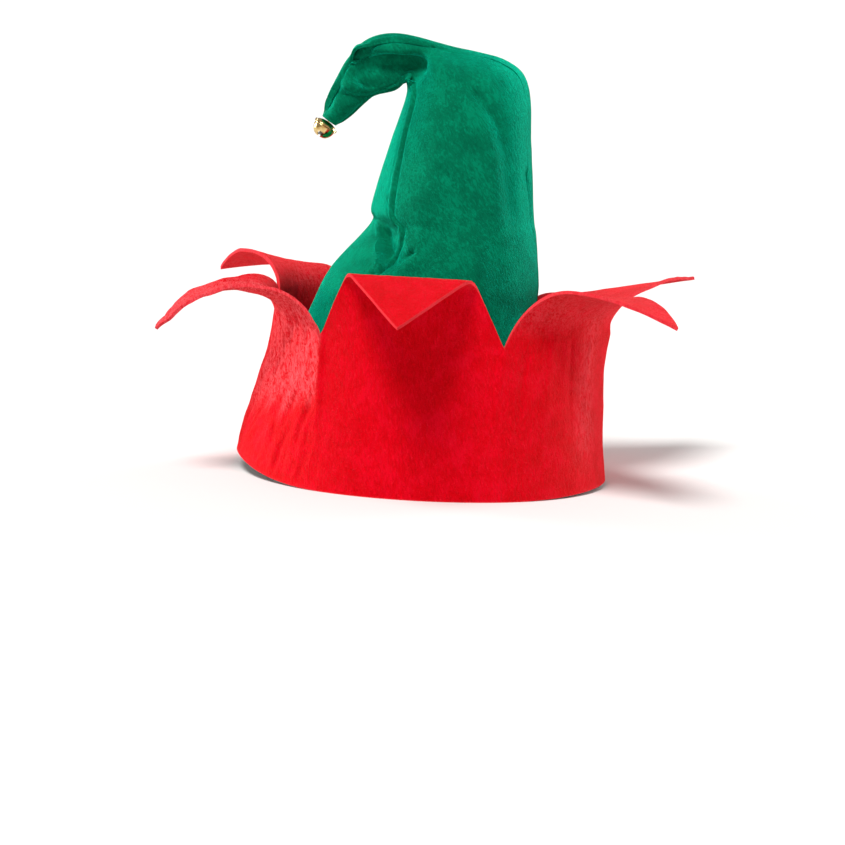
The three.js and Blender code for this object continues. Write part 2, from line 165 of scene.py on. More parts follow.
# degrees that each seam lies round to the hat's left, rows evenly spaced from rim to peak
crownSeams = table(
    "front back",
    (28, 0), (38, 2), (58, 8), (45, 18), (34, 22), (30, 28), (24, 42), (10, 42), (0, 12),
)
# creases seen from the side, side 1 for the left panel. width and depth: shares of rimWidth
crownCreases = table(
    "side fromY fromZ toY toZ width depth",
    (1, -0.197, 0.905, -0.069, 0.935, 0.045, 0.055),
    (-1, -0.187, 0.91, -0.069, 0.93, 0.045, 0.04),
    (1, -0.172, 0.57, -0.079, 0.477, 0.085, 0.028),
    (1, -0.079, 0.477, -0.158, 0.43, 0.085, 0.012),
    (-1, -0.158, 0.57, 0.02, 0.53, 0.085, 0.035),
)

# arc length round the rim's oval, from the front centre
arcSteps = 720
rimArcs = [0.0]
for step in range(arcSteps):
    low, high = tau * step / arcSteps, tau * (step + 1) / arcSteps
    run = halfLength * (math.cos(high) - math.cos(low))
    rise = halfWidth * (math.sin(high) - math.sin(low))
    rimArcs.append(rimArcs[-1] + math.hypot(run, rise))
rimArc = rimArcs[-1]


def angleAt(arc):
    arc %= rimArc
    step = min(bisect.bisect_right(rimArcs, arc) - 1, arcSteps - 1)
    part = (arc - rimArcs[step]) / (rimArcs[step + 1] - rimArcs[step])
    return tau * (step + part) / arcSteps


def startArc(index):
    return (pointCurls[index % pointCount]["start"] + index // pointCount) * rimArc


def rimLift(angle):
    front = clamp01((math.cos(angle) - 0.3) / 0.7) ** 4
    back = clamp01((-math.cos(angle) - 0.5) / 0.5) ** 1.5
    return hat["frontLift"] * front + hat["backLift"] * back


def wallPoint(angle, height):
    place = height / hat["cuffHeight"]
    toFront = max(0, math.cos(angle)) ** 3
    toBack = max(0, -math.cos(angle)) ** 3
    lean = between(wallSections, "frontLean", place) * toFront
    lean -= between(wallSections, "backLean", place) * toBack
    return Vector((
        between(wallSections, "half", place) * halfWidth * math.sin(angle),
        -halfLength * math.cos(angle) + lean * hat["rimLength"],
        height + rimLift(angle),
    ))


def bendAt(curl, share):
    if share < curl["bendTo"]:
        part = (share - curl["bendFrom"]) / (curl["bendTo"] - curl["bendFrom"])
        return math.radians(curl["bend"]) * smooth(part)
    rest = (share - curl["bendTo"]) / (1 - curl["bendTo"])
    return math.radians(curl["bend"] + (curl["tip"] - curl["bend"]) * rest)


def bentLength(curl):
    return curl["cut"] * hat["pointHeight"] + curl["dip"] * hat["cuffHeight"]


# how far out and up the felt of each point gets, summed along it
reachSteps = 400
for curl in pointCurls:
    part = bentLength(curl) / reachSteps
    curl["reach"] = [(0.0, 0.0)]
    for step in range(reachSteps):
        out, up = curl["reach"][-1]
        bend = bendAt(curl, (step + 0.5) / reachSteps)
        curl["reach"].append((out + math.sin(bend) * part, up + math.cos(bend) * part))


def curlReach(curl, length):
    spot = clamp01(length / bentLength(curl)) * reachSteps
    step = min(int(spot), reachSteps - 1)
    (outLow, upLow), (outHigh, upHigh) = curl["reach"][step : step + 2]
    return lerp(outLow, outHigh, spot - step), lerp(upLow, upHigh, spot - step)


def edgeHeight(curl, share):
    return curl["cut"] * hat["pointHeight"] * (1 - abs(share) ** hat["pointRoundness"])


def dipDepth(curl, share):
    return curl["dip"] * hat["cuffHeight"] * (1 - share * share)


def curledPoint(index, share, length):
    curl = pointCurls[index]
    pitch = startArc(index + 1) - startArc(index)
    middleArc = startArc(index) + pitch / 2
    offset = share * pitch / 2
    root = wallPoint(angleAt(middleArc + offset), hat["cuffHeight"] - dipDepth(curl, share))
    middle = wallPoint(angleAt(middleArc), hat["cuffHeight"])
    side = wallPoint(angleAt(middleArc + pitch / 100), hat["cuffHeight"])
    side -= wallPoint(angleAt(middleArc - pitch / 100), hat["cuffHeight"])
    side.z = 0
    side.normalize()
    outward = Vector((side.y, -side.x, 0))
    local = root - middle
    flat = smooth(length / hat["pointStraighten"])
    out, up = curlReach(curl, length)
    acrossAt = lerp(local.dot(side), offset, flat)
    outAt = local.dot(outward) * (1 - flat) + out
    lift = offset * math.sin(math.radians(curl["roll"])) * flat
    twist = Matrix.Rotation(math.radians(curl["turn"]) * flat, 3, "Z")
    return middle + twist @ (side * acrossAt + outward * outAt) + Vector((0, 0, local.z + up + lift))


@functools.lru_cache(maxsize=None)
def crownRow(place):
    row = {key: between(crownSections, key, place) for key in crownSections[0]}
    front = Vector((0, row["frontY"] * hat["rimLength"], row["frontZ"] * hat["crownHeight"]))
    back = Vector((0, row["backY"] * hat["rimLength"], row["backZ"] * hat["crownHeight"]))
    return front, back, row["half"] * hat["rimWidth"], row["point"]


def crownPoint(place, turn):
    front, back, half, drawnOut = crownRow(place)
    sine = math.sin(turn)
    point = front.lerp(back, (1 - math.cos(turn)) / 2)
    point.x = math.copysign(half * abs(sine) ** drawnOut, sine)
    point.z += rimLift(turn) * (1 - clamp01(place * (len(crownSections) - 1)))
    for crease in crownCreases:
        if crease["side"] * point.x >= 0:
            start = Vector((crease["fromY"] * hat["rimLength"], crease["fromZ"] * hat["crownHeight"]))
            end = Vector((crease["toY"] * hat["rimLength"], crease["toZ"] * hat["crownHeight"]))
            away, along = distanceToLine(Vector((point.y, point.z)), start, end)
            away /= crease["width"] * hat["rimWidth"]
            push = crease["depth"] * hat["rimWidth"] * math.exp(-away * away)
            push = min(push, abs(point.x) * hat["creaseLimit"])
            point.x -= math.copysign(push, point.x)
    return point


def seamTurn(seam, place):
    turn = math.radians(between(crownSeams, seam, place))
    return turn if seam == "front" else math.pi - turn


def seamDirection(seam, place):
    step = 0.006
    low, high = clamp01(place - step), clamp01(place + step)
    line = crownPoint(high, seamTurn(seam, high)) - crownPoint(low, seamTurn(seam, low))
    return line.normalized()


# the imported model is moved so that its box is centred: the cuff's box gives by how much
def groupShift():
    columns, rows = 12, 30  # of a point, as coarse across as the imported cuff
    lows, highs = Vector((1e9,) * 3), Vector((-1e9,) * 3)
    for index, curl in enumerate(pointCurls):
        for column in range(columns + 1):
            share = 2 * column / columns - 1
            reach = edgeHeight(curl, share) + dipDepth(curl, share)
            for row in range(rows + 1):
                point = curledPoint(index, share, reach * row / rows)
                lows = Vector(map(min, lows, point))
                highs = Vector(map(max, highs, point))
    low, high = (Vector(corner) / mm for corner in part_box("cuff"))
    middle = (low + high - lows - highs) / 2
    return Vector((middle.x, middle.y, 0))


shift = groupShift()
print("shift of the packed model, mm:", [round(x, 3) for x in shift])


# ways of making and finishing a mesh
def meshObject(name, bm, material):
    mesh = bpy.data.meshes.new(name)
    bm.to_mesh(mesh)
    bm.free()
    piece = bpy.data.objects.new(name, mesh)
    bpy.context.scene.collection.objects.link(piece)
    mesh.materials.append(material)
    return piece


def applyModifiers(piece):
    graph = bpy.context.evaluated_depsgraph_get()
    made = bpy.data.meshes.new_from_object(piece.evaluated_get(graph), depsgraph=graph)
    piece.modifiers.clear()
    old, piece.data = piece.data, made
    bpy.data.meshes.remove(old)


# felt: rows and columns of a grid are laid on a form, worked in relief, then given a wall
def feltSheet(name, settings, form, relief, material):
    columns, rows = settings["columns"], settings["rows"]
    bm = bmesh.new()
    bmesh.ops.create_grid(bm, x_segments=columns, y_segments=rows, size=1, calc_uvs=True)
    # each vertex keeps its distance from a cut edge, which places a painted edge highlight, and its share
    # of painted sheen
    edgeLayer = bm.verts.layers.float.new("cutEdge")
    paintedSheenLayer = bm.verts.layers.float.new("paintedSheenMask")
    spots = []
    for vert in bm.verts:
        across, up = (vert.co.x + 1) / 2, (vert.co.y + 1) / 2
        vert.co, vert[edgeLayer] = form(across, up)
        spots.append((across, up))
    bm.normal_update()
    reliefs = [relief(vert.co, across, up) for vert, (across, up) in zip(bm.verts, spots)]
    for vert, (lift, paintedSheen) in zip(bm.verts, reliefs):
        vert.co = (vert.co + vert.normal * lift + shift) * mm
        vert[paintedSheenLayer] = paintedSheen
    bmesh.ops.remove_doubles(bm, verts=bm.verts, dist=1e-6)
    bmesh.ops.dissolve_degenerate(bm, edges=bm.edges, dist=1e-7)
    for face in bm.faces:
        face.smooth = True
    print(name, "flat area, m2:", round(sum(face.calc_area() for face in bm.faces), 5))
    piece = meshObject(name, bm, material)
    wall = piece.modifiers.new("wall", "SOLIDIFY")
    wall.thickness = settings["felt"] * mm
    wall.offset = 0
    applyModifiers(piece)
    piece.data.set_sharp_from_angle(angle=math.radians(50))
    return piece


def softWave(point, size, seed):  # slow rise and fall, -1 to 1, of about one wave in size mm
    return noise.noise(Vector(point) / size + Vector((seed, 2.3 * seed, -seed)))


# sRGB to the linear light that nodes take
def linear(hexColour):
    parts = [int(hexColour[i : i + 2], 16) / 255 for i in (1, 3, 5)]
    return tuple(c / 12.92 if c <= 0.04045 else ((c + 0.055) / 1.055) ** 2.4 for c in parts) + (1,)


def addNode(material, kind, settings=None, links=None):
    node = material.node_tree.nodes.new(kind)
    for key, value in (settings or {}).items():
        if isinstance(key, int) or key in node.inputs:
            node.inputs[key].default_value = value
        else:
            setattr(node, key, value)
    for key, source in (links or {}).items():
        material.node_tree.links.new(source, node.inputs[key])
    return node


def newMaterial(name):
    material = bpy.data.materials.new(name)
    material.use_nodes = True
    material.node_tree.nodes.clear()
    return material


def finishMaterial(material, shader):
    addNode(material, "ShaderNodeOutputMaterial", links={"Surface": shader.outputs[0]})
    return material


def rampBetween(material, fac, stops):
    ramp = addNode(material, "ShaderNodeValToRGB", links={"Fac": fac})
    elements = ramp.color_ramp.elements
    while len(elements) < len(stops):
        elements.new(0.5)
    for element, (position, colour) in zip(elements, stops):
        element.position = position
        element.color = linear(colour)
    return ramp


def paintOver(material, base, colour, mask):  # inputs 6 and 7 of this node are its two colours
    mixed = {"data_type": "RGBA", 7: linear(colour)}
    return addNode(material, "ShaderNodeMix", mixed, {0: mask, 6: base}).outputs[2]


# craft felt: pressed staple fibres, matt, brushed one way into a nap of fine clumps, with a haze
# of loose fibre ends that catches the light at a slant (the shader's sheen). Painted sheen is laid
# on as a paler colour where the mesh's mask asks, and a painted highlight along the cut edges
def craftFelt(name, look):
    material = newMaterial(name)
    where = addNode(material, "ShaderNodeTexCoord").outputs["Object"]
    combed = addNode(
        material,
        "ShaderNodeMapping",
        {
            "vector_type": "TEXTURE",
            "Rotation": (math.radians(look["napLean"]), 0, 0),
            "Scale": (1, 1, look["napStretch"]),
        },
        {"Vector": where},
    ).outputs["Vector"]

    def cloudy(size, detail, rough, distortion, vector):
        return addNode(
            material,
            "ShaderNodeTexNoise",
            {"Scale": 1 / (size * mm), "Detail": detail, "Roughness": rough, "Distortion": distortion},
            {"Vector": vector},
        ).outputs["Fac"]

    def multiplyAdd(value, factor, added):
        settings = {"operation": "MULTIPLY_ADD", 1: factor}
        return addNode(material, "ShaderNodeMath", settings, {0: value, 2: added}).outputs["Value"]

    cloud = cloudy(look["cloudSize"], 3, 0.6, 0.3, where)
    nap = cloudy(look["napWidth"], 4, 0.65, 0.9, combed)
    fibre = cloudy(look["fibreSize"], 3, 0.75, 1.4, where)
    clouds = {"operation": "MULTIPLY", 1: look["cloudShow"]}
    clouded = addNode(material, "ShaderNodeMath", clouds, {0: cloud}).outputs["Value"]
    tone = multiplyAdd(nap, look["napShow"], clouded)
    middleTone = (look["cloudShow"] + look["napShow"]) / 2
    colour = rampBetween(material, tone, [
        (middleTone - look["toneSpread"], look["deep"]),
        (middleTone, look["body"]),
        (middleTone + look["toneSpread"], look["pale"]),
    ]).outputs["Color"]
    ends = addNode(
        material,
        "ShaderNodeMapRange",
        {"From Min": 0.58, "From Max": 0.74, "To Min": 0, "To Max": look["fibreShow"]},
        {"Value": fibre},
    )
    colour = paintOver(material, colour, look["fibre"], ends.outputs["Result"])
    # painted sheen: a paler colour painted where the mesh's painted sheen mask is set, broken into streaks
    # along the nap
    streaks = cloudy(look["streakWidth"], 4, 0.7, 1.2, combed)
    streaky = addNode(
        material,
        "ShaderNodeMapRange",
        {"From Min": 0.42, "From Max": 0.58, "To Min": look["streakLow"], "To Max": 1},
        {"Value": streaks},
    ).outputs["Result"]
    paintedSheen = addNode(material, "ShaderNodeAttribute", {"attribute_name": "paintedSheenMask"}).outputs["Fac"]
    streakedSheen = addNode(material, "ShaderNodeMath", {"operation": "MULTIPLY"}, {0: paintedSheen, 1: streaky})
    colour = paintOver(material, colour, look["paintedSheen"], streakedSheen.outputs["Value"])
    # painted highlight: a paler colour painted in a narrow band along each cut edge
    cutEdge = addNode(material, "ShaderNodeAttribute", {"attribute_name": "cutEdge"})
    edgeHighlight = addNode(
        material,
        "ShaderNodeMapRange",
        {"From Min": 0, "From Max": look["edgeWidth"], "To Min": look["edgeHighlightShow"], "To Max": 0},
        {"Value": cutEdge.outputs["Fac"]},
    )
    colour = paintOver(material, colour, look["edge"], edgeHighlight.outputs["Result"])
    bump = addNode(
        material,
        "ShaderNodeBump",
        {"Strength": look["bumpStrength"], "Distance": look["bumpDepth"] * mm},
        {"Height": multiplyAdd(nap, look["napHeight"], fibre)},
    )
    shader = addNode(
        material,
        "ShaderNodeBsdfPrincipled",
        {
            "Roughness": 0.95,
            "IOR": 1.45,
            "Specular IOR Level": 0.04,
            "Sheen Weight": look["sheen"],
            "Sheen Roughness": look["sheenRoughness"],
            "Sheen Tint": linear(look["sheenTint"]),
        },
        {"Base Color": colour, "Normal": bump.outputs["Normal"]},
    )
    return finishMaterial(material, shader)


redFelt = craftFelt("redCraftFelt", {
    "deep": "#cc0008",
    "body": "#e00014",
    "pale": "#ea0420",
    "fibre": "#ff2c3e",
    # painted highlight along the cut edges
    "edge": "#f8505a",
    "paintedSheen": "#f6565c",  # painted sheen: paler pink laid where the felt is pulled or turned out, and along the far outline
    "streakWidth": 1.4,
    "streakLow": 0.0,
    "sheenTint": "#ff8a84",
    "sheen": 0.2,
    "sheenRoughness": 0.34,
    "cloudSize": 12,
    "cloudShow": 0.8,
    "napWidth": 1.1,  # clumps of nap, a little coarser than the real ones
    "napStretch": 3,
    "napLean": 12,
    "napShow": 0.9,
    "napHeight": 1.8,
    "toneSpread": 0.3,
    "fibreSize": 1.2,  # fibre tangles are finer, drawn this coarse so that they show
    "fibreShow": 0.75,
    "edgeWidth": 0.9,
    "edgeHighlightShow": 0.3,
    "bumpStrength": 0.9,
    "bumpDepth": 0.8,
})
greenFelt = craftFelt("greenCraftFelt", {
    "deep": "#005a3f",
    "body": "#006a4a",
    "pale": "#007e5a",
    "fibre": "#0a9a76",
    # painted highlight along the cut edges
    "edge": "#0a906c",
    # painted sheen, laid along the back and beside the front seam
    "paintedSheen": "#00a884",
    "streakWidth": 1.4,
    "streakLow": 0.3,
    "sheenTint": "#08ffd2",
    "sheen": 0.75,
    "sheenRoughness": 0.3,
    "cloudSize": 13,
    "cloudShow": 0.75,
    "napWidth": 1.1,
    "napStretch": 3,
    "napLean": 35,
    "napShow": 1.0,
    "napHeight": 1.6,
    "toneSpread": 0.27,
    "fibreSize": 1.1,
    "fibreShow": 0.7,
    "edgeWidth": 0.9,
    "edgeHighlightShow": 0.35,
    "bumpStrength": 0.8,
    "bumpDepth": 0.7,
})


# brass plated in bright gold: stamped and tumbled, so it mirrors its surroundings softly
def goldPlate():
    material = newMaterial("goldPlatedBrass")
    where = addNode(material, "ShaderNodeTexCoord").outputs["Object"]
    # the gold's colour and roughness wander at random between a darker and a paler gold
    goldMottle = addNode(
        material,
        "ShaderNodeTexNoise",
        {"Scale": 1 / (2.2 * mm), "Detail": 4, "Roughness": 0.6},
        {"Vector": where},
    )
    colour = rampBetween(material, goldMottle.outputs["Fac"], [(0.3, "#a8803f"), (0.62, "#e6c88c")])
    rough = addNode(
        material,
        "ShaderNodeMapRange",
        {"To Min": 0.06, "To Max": 0.22},
        {"Value": goldMottle.outputs["Fac"]},
    )
    shader = addNode(
        material,
        "ShaderNodeBsdfPrincipled",
        {"Metallic": 1},
        {"Base Color": colour.outputs["Color"], "Roughness": rough.outputs["Result"]},
    )
    return finishMaterial(material, shader)


# plain steel ball, dull grey with tumbling marks
def pelletSteel():
    material = newMaterial("tumbledSteel")
    where = addNode(material, "ShaderNodeTexCoord").outputs["Object"]
    marks = addNode(
        material,
        "ShaderNodeTexNoise",
        {"Scale": 1 / (0.5 * mm), "Detail": 3},
        {"Vector": where},
    )
    rough = addNode(
        material,
        "ShaderNodeMapRange",
        {"To Min": 0.25, "To Max": 0.5},
        {"Value": marks.outputs["Fac"]},
    )
    shader = addNode(
        material,
        "ShaderNodeBsdfPrincipled",
        {"Metallic": 1, "Base Color": linear("#8f8f8c")},
        {"Roughness": rough.outputs["Result"]},
    )
    return finishMaterial(material, shader)


# spun polyester sewing thread: two plies show as slanted stripes with a slight gloss
def sewingThread(name, dark, light):
    material = newMaterial(name)
    where = addNode(material, "ShaderNodeTexCoord").outputs["Object"]
    plies = addNode(
        material,
        "ShaderNodeTexWave",
        {"bands_direction": "DIAGONAL", "Scale": 1 / (2 * 0.4 * mm), "Distortion": 0.5},
        {"Vector": where},
    )
    colour = rampBetween(material, plies.outputs["Fac"], [(0.2, dark), (0.8, light)])
    shader = addNode(
        material,
        "ShaderNodeBsdfPrincipled",
        {"Roughness": 0.55, "Sheen Weight": 0.2},
        {"Base Color": colour.outputs["Color"]},
    )
    return finishMaterial(material, shader)


goldMaterial = goldPlate()
pelletMaterial = pelletSteel()
greenThread = sewingThread("greenPolyesterThread", "#005a40", "#00916a")
print("materials made")

# cuff: a strip with six points, creased below its notches and rippled where a point turns out
cuff = {
    "columns": 420,
    "rows": 110,
    "felt": hat["cuffFelt"],
    "wallShare": 0.46,  # share of the rows that lie below the notches
    "flat": (0.575, 0.178),  # the strip that the cuff was cut from
    "area": 0.0745,
    "wave": 0.5,  # slow unevenness of the whole wall
    "waveSize": 34,
    "fineWave": 0.16,
    "fineWaveSize": 9,
    "ripple": 1.3,  # upright ripples, strongest where the front left point pulls the wall out
    "rippleWidth": 4.2,
    "rippleHeight": 17,
    "fineRipple": 0.4,
    "fineWidth": 2.1,
    "fineHeight": 12,
    "rippleShear": 0.35,
    "shearBelow": 60,
    "quiet": 0.12,  # share of the ripples that the rest of the wall has
    "pulledFrom": -0.03,  # the pulled stretch of wall, shares of the way round
    "pulledTo": 0.146,
    "rimStill": 9,  # the relief fades to nothing in this height above the rim
}
# where painted sheen goes on the cuff. Round: share of the way round. Up: millimetres up the felt
cuffSheenPlaces = {
    "foldRound": 0.1432,  # the pulled wall gets painted sheen up to the fold here
    "foldSoft": 0.004,
    "frontSoft": 0.04,
    "lowestUp": 14,
    "lowestRise": 190,  # in a full way round
    "lowestWander": 10,
    "lowestSoft": 16,
    "pointsUp": 84,
    "pointsSoft": 14,
    "pointsShow": 0.4,
    "farRound": 0.43,
    "farWidth": 0.018,
    "farUp": 4,
    "farSoft": 30,
    "farShow": 0.55,
}
# round: share of the way round the rim. up: millimetres up the felt. before, after: width towards
# the front centre and away from it. Each fold fades from its first end to its last.
cuffFolds = table(
    "fromRound fromUp toRound toUp before after lift",
    (0.1405, 88, 0.1466, 41, 13, 1.3, 2.4),
    (0.1402, 79, 0.1412, 75, 1.6, 1.6, -1.1),
    (0.095, 92, 0.0965, 48, 2.2, 2.6, -2.0),
    (0.0965, 52, 0.088, 32, 2.2, 2.4, -1.3),
    (0.105, 90, 0.107, 52, 2.6, 1.6, 1.0),
    (0.123, 86, 0.1153, 36, 2.0, 2.0, -0.9),
    (0.054, 74, 0.0426, 40, 2.0, 2.2, -1.4),
    (0.0734, 88, 0.0806, 48, 3.4, 1.8, 1.4),
    (0.068, 62, 0.056, 22, 2.0, 2.2, -1.1),
    (0.078, 40, 0.07, 10, 2.6, 2.6, 0.6),
    (0.322, 82, 0.316, 44, 1.8, 8.0, 1.2),
    (0.345, 76, 0.34, 30, 3.0, 3.4, -0.9),
    (0.375, 84, 0.37, 40, 3.0, 3.4, 0.8),
    (0.4, 82, 0.404, 34, 2.6, 3.0, -0.9),
    (0.43, 80, 0.428, 44, 2.6, 2.4, 0.9),
    (0.484, 84, 0.487, 42, 9.0, 1.8, 1.3),
    (0.655, 84, 0.652, 42, 1.8, 9.0, 1.2),
    (0.83, 84, 0.826, 44, 2.2, 11.0, 1.8),
    (0.862, 86, 0.858, 36, 2.4, 2.6, -1.3),
    (0.885, 84, 0.882, 34, 2.6, 2.8, -1.0),
    (0.92, 86, 0.915, 40, 2.6, 3.0, 0.9),
    (0.981, 86, 0.984, 38, 6.0, 6.0, 1.2),
    (0.62, 76, 0.628, 32, 3.0, 3.0, -0.8),
    (0.52, 80, 0.526, 30, 3.4, 3.0, -0.9),
)


def cuffSpot(across, up):
    index = min(int(across * pointCount + 1e-9), pointCount - 1)
    share = (across * pointCount - index) * 2 - 1
    return index, share, pointCurls[index]


def cuffForm(across, up):
    index, share, curl = cuffSpot(across, up)
    dip = dipDepth(curl, share)
    reach = edgeHeight(curl, share) + dip
    if up < cuff["wallShare"]:
        arc = lerp(startArc(index), startArc(index + 1), (share + 1) / 2)
        height = (hat["cuffHeight"] - dip) * up / cuff["wallShare"]
        return wallPoint(angleAt(arc), height), min(height, hat["cuffHeight"] - dip + reach - height)
    rise = reach * (up - cuff["wallShare"]) / (1 - cuff["wallShare"])
    return curledPoint(index, share, rise), reach - rise


# painted sheen share on the cuff: on the pulled wall up to the fold, on the turned-out points, and in a
# painted highlight band up the far outline
def cuffPaintedSheenShare(index, place, height, sheared):
    fibre = cuffSheenPlaces
    wander = noise.noise(Vector((sheared / 5, height / 60, 2.7)))
    lowest = fibre["lowestUp"] + fibre["lowestRise"] * place + fibre["lowestWander"] * wander
    pulledWall = smooth((fibre["foldRound"] - place) / fibre["foldSoft"])
    pulledWall *= smooth(place / fibre["frontSoft"]) * smooth((height - lowest) / fibre["lowestSoft"])
    turnedOut = fibre["pointsShow"] * smooth((height - fibre["pointsUp"]) / fibre["pointsSoft"])
    if index == 1:  # the point on the hat's left is folded down, and gets no painted sheen
        turnedOut = 0
    farWall = fibre["farShow"] * math.exp(-(((place - fibre["farRound"]) / fibre["farWidth"]) ** 2))
    return max(pulledWall, turnedOut, farWall * smooth((height - fibre["farUp"]) / fibre["farSoft"]))


def cuffRelief(point, across, up):
    index, share, curl = cuffSpot(across, up)
    dip = dipDepth(curl, share)
    arc = lerp(startArc(index), startArc(index + 1), (share + 1) / 2)
    if up < cuff["wallShare"]:
        height = (hat["cuffHeight"] - dip) * up / cuff["wallShare"]
    else:
        rise = (up - cuff["wallShare"]) / (1 - cuff["wallShare"])
        height = hat["cuffHeight"] - dip + (edgeHeight(curl, share) + dip) * rise
    lift = cuff["wave"] * softWave(point, cuff["waveSize"], 3.1)
    lift += cuff["fineWave"] * softWave(point, cuff["fineWaveSize"], 7.7)
    sheared = arc + cuff["rippleShear"] * max(0, cuff["shearBelow"] - height)
    pulledStart = smooth((arc / rimArc - cuff["pulledFrom"]) / 0.06)
    pulledEnd = smooth((cuff["pulledTo"] - arc / rimArc) / 0.01)
    pulled = lerp(cuff["quiet"], 1, pulledStart * pulledEnd)
    ripple = noise.noise(Vector((sheared / cuff["rippleWidth"], height / cuff["rippleHeight"], 4.1)))
    fine = noise.noise(Vector((sheared / cuff["fineWidth"], height / cuff["fineHeight"], 9.3)))
    lift += (cuff["ripple"] * ripple + cuff["fineRipple"] * fine) * pulled
    here = Vector((arc % rimArc, height))
    for fold in cuffFolds:
        start = Vector((fold["fromRound"] * rimArc, fold["fromUp"]))
        end = Vector((fold["toRound"] * rimArc, fold["toUp"]))
        away, along = distanceToLine(here, start, end)
        isAfter = (end - start).cross(here - start) > 0
        away /= fold["after"] if isAfter else fold["before"]
        if away < 4:
            lift += fold["lift"] * math.exp(-1.5 * away) * (1 - 0.75 * along)
    paintedSheen = cuffPaintedSheenShare(index, (arc / rimArc + 0.5) % 1 - 0.5, height, sheared)
    return lift * smooth(height / cuff["rimStill"]), paintedSheen


cuffPiece = feltSheet("cuffFelt", cuff, cuffForm, cuffRelief, redFelt)
print("cuff made")

# crown: two panels, drawn in along their seams, creased at the fold and above the cuff
crown = {
    "leftColumns": 120,
    "rightColumns": 150,
    "rows": 250,
    "felt": hat["crownFelt"],
    "leftFlat": (0.23, 0.37),  # the panels' cuts, rim by height
    "rightFlat": (0.35, 0.37),
    "leftArea": 0.0338,
    "rightArea": 0.0545,
    "wave": 0.45,
    "waveSize": 30,
    "fineWave": 0.14,
    "fineWaveSize": 8,
    "rimStill": 0.12,  # the relief fades in these shares of the crown at the rim and at the peak's end
    "endStill": 0.04,
    "fromCutEdge": 5.0,  # the panels' edges are turned in, so they get no painted edge highlight
    "seamGroove": 1.2,
    "grooveWidth": 0.9,
    "seamRoll": 1.1,  # the turned-in seam allowance raises a soft roll in the right panel
    "rollWidth": 1.7,
    "rollAway": 2.5,
    "rollCrease": 0.7,
    "rollCreaseWidth": 0.8,
    "rollCreaseAway": 4.8,
    "backSheenPaint": 0.7,  # painted sheen along the back and beside the front seam
    "backWidth": 16,
    "frontSheenPaint": 0.45,
    "frontWidth": 22,
    "backSeamFrom": 0.66,  # the back seam is pressed flat below here, a share of the way up
    "frontSheenPaintFrom": 0.345,
    "sheenPaintFrom": 0.2,
    "sheenPaintTo": 0.72,
}
# places in millimetres, width and lift too. A sharp fold is crisp along its line. toOne: how wide
# the fold is towards its upper or front side, as a share of width
crownFolds = table(
    "fromX fromY fromZ toX toY toZ width lift sharp toOne",
    (12.9, -30.7, 139, 33.5, -28.3, 117, 3.0, 4.2, 1, 0.5),
    (22, -27, 134, 36, -22.5, 122, 5.0, -6.4, 0, 1),
    (29, -21.5, 134, 38, -15, 125, 3.4, -1.8, 0, 1),
    (39.5, -11, 126, 37, -31, 113, 1.6, -3.0, 0, 1),
    (38, -14, 128, 37, -30, 116.4, 2.0, 1.3, 0, 1),
    (41, -12, 119, 39, -34, 105, 4.5, 1.6, 0, 1),
    (7.6, -42, 226, 9.5, -12, 224.6, 5.0, -6.5, 0, 1),
    (8, -36, 220, 8, -17, 219, 5.0, -3.4, 0, 1),
    (9.5, -37, 231.6, 10.5, -12, 228, 2.2, 2.2, 1, 1),
    (9.1, -46, 219, 8.2, -30, 215, 4.0, 1.4, 0, 1),
    (8.2, -51, 211, 4.6, -36, 207.4, 2.4, 1.7, 0, 1),
    (7.9, -55, 206.5, 4.9, -38, 204.6, 2.4, -2.2, 0, 1),
    (4.5, -57, 214, 6, -50, 222, 2.6, 0.9, 0, 1),
    (3.0, -60.5, 197, 4.5, -54, 209, 1.8, -1.4, 0, 1),
    (3.0, -57.5, 194, 4.5, -49, 203, 1.8, 1.0, 0, 1),
    (14, -6, 226.5, 30, 26.8, 187, 6.0, 1.4, 0, 1),
    (12, 6, 229, 28, 36, 186, 5.0, -1.4, 0, 1),
    (22.4, 4.9, 218.4, 26.6, 19.6, 210, 2.8, -1.0, 0, 1),
    (26.6, 19.6, 210, 26, 33.5, 193, 2.8, -1.0, 0, 1),
    (28, 36, 185, 27, 41, 150, 5.0, -1.0, 0, 1),
    (30, 30, 178, 30, 33, 130, 6.0, 1.2, 0, 1),
    (34.6, 2.2, 170.5, 37, 11, 162.5, 2.0, -1.3, 0, 1),
    (33, 8, 176, 38, 18, 158, 3.4, 0.9, 0, 1),
    (28, -6, 205, 34, 2, 160, 7.0, 0.8, 0, 1),
    (36, 4, 150, 44, -4, 116, 7.0, -1.2, 0, 1),
    (38, 22, 140, 46, 26, 108, 6.0, 1.2, 0, 1),
    (36, -6, 138, 40, 12, 122, 3.4, 0.8, 0, 1),
    (13, 48, 170, 10.3, 52.7, 146, 1.8, -1.4, 0, 1),
    (-30, 20, 200, -34, -6, 150, 6.0, 1.2, 0, 1),
    (-20, -10, 222, -30, 10, 180, 5.0, -1.2, 0, 1),
    (-30, -27, 130, -38, -10, 118, 3.4, -2.4, 0, 1),
    (-24, -29, 134, -34, -26, 118, 2.4, 1.6, 1, 1),
    (-8, -38, 226, -8, -16, 223, 4.0, -2.6, 0, 1),
)


def seamDepth(seam, up):
    return 1 if seam == "front" else smooth((up - crown["backSeamFrom"]) / 0.08)


def nearSeam(away, width):
    return math.exp(-((away / width) ** 2))


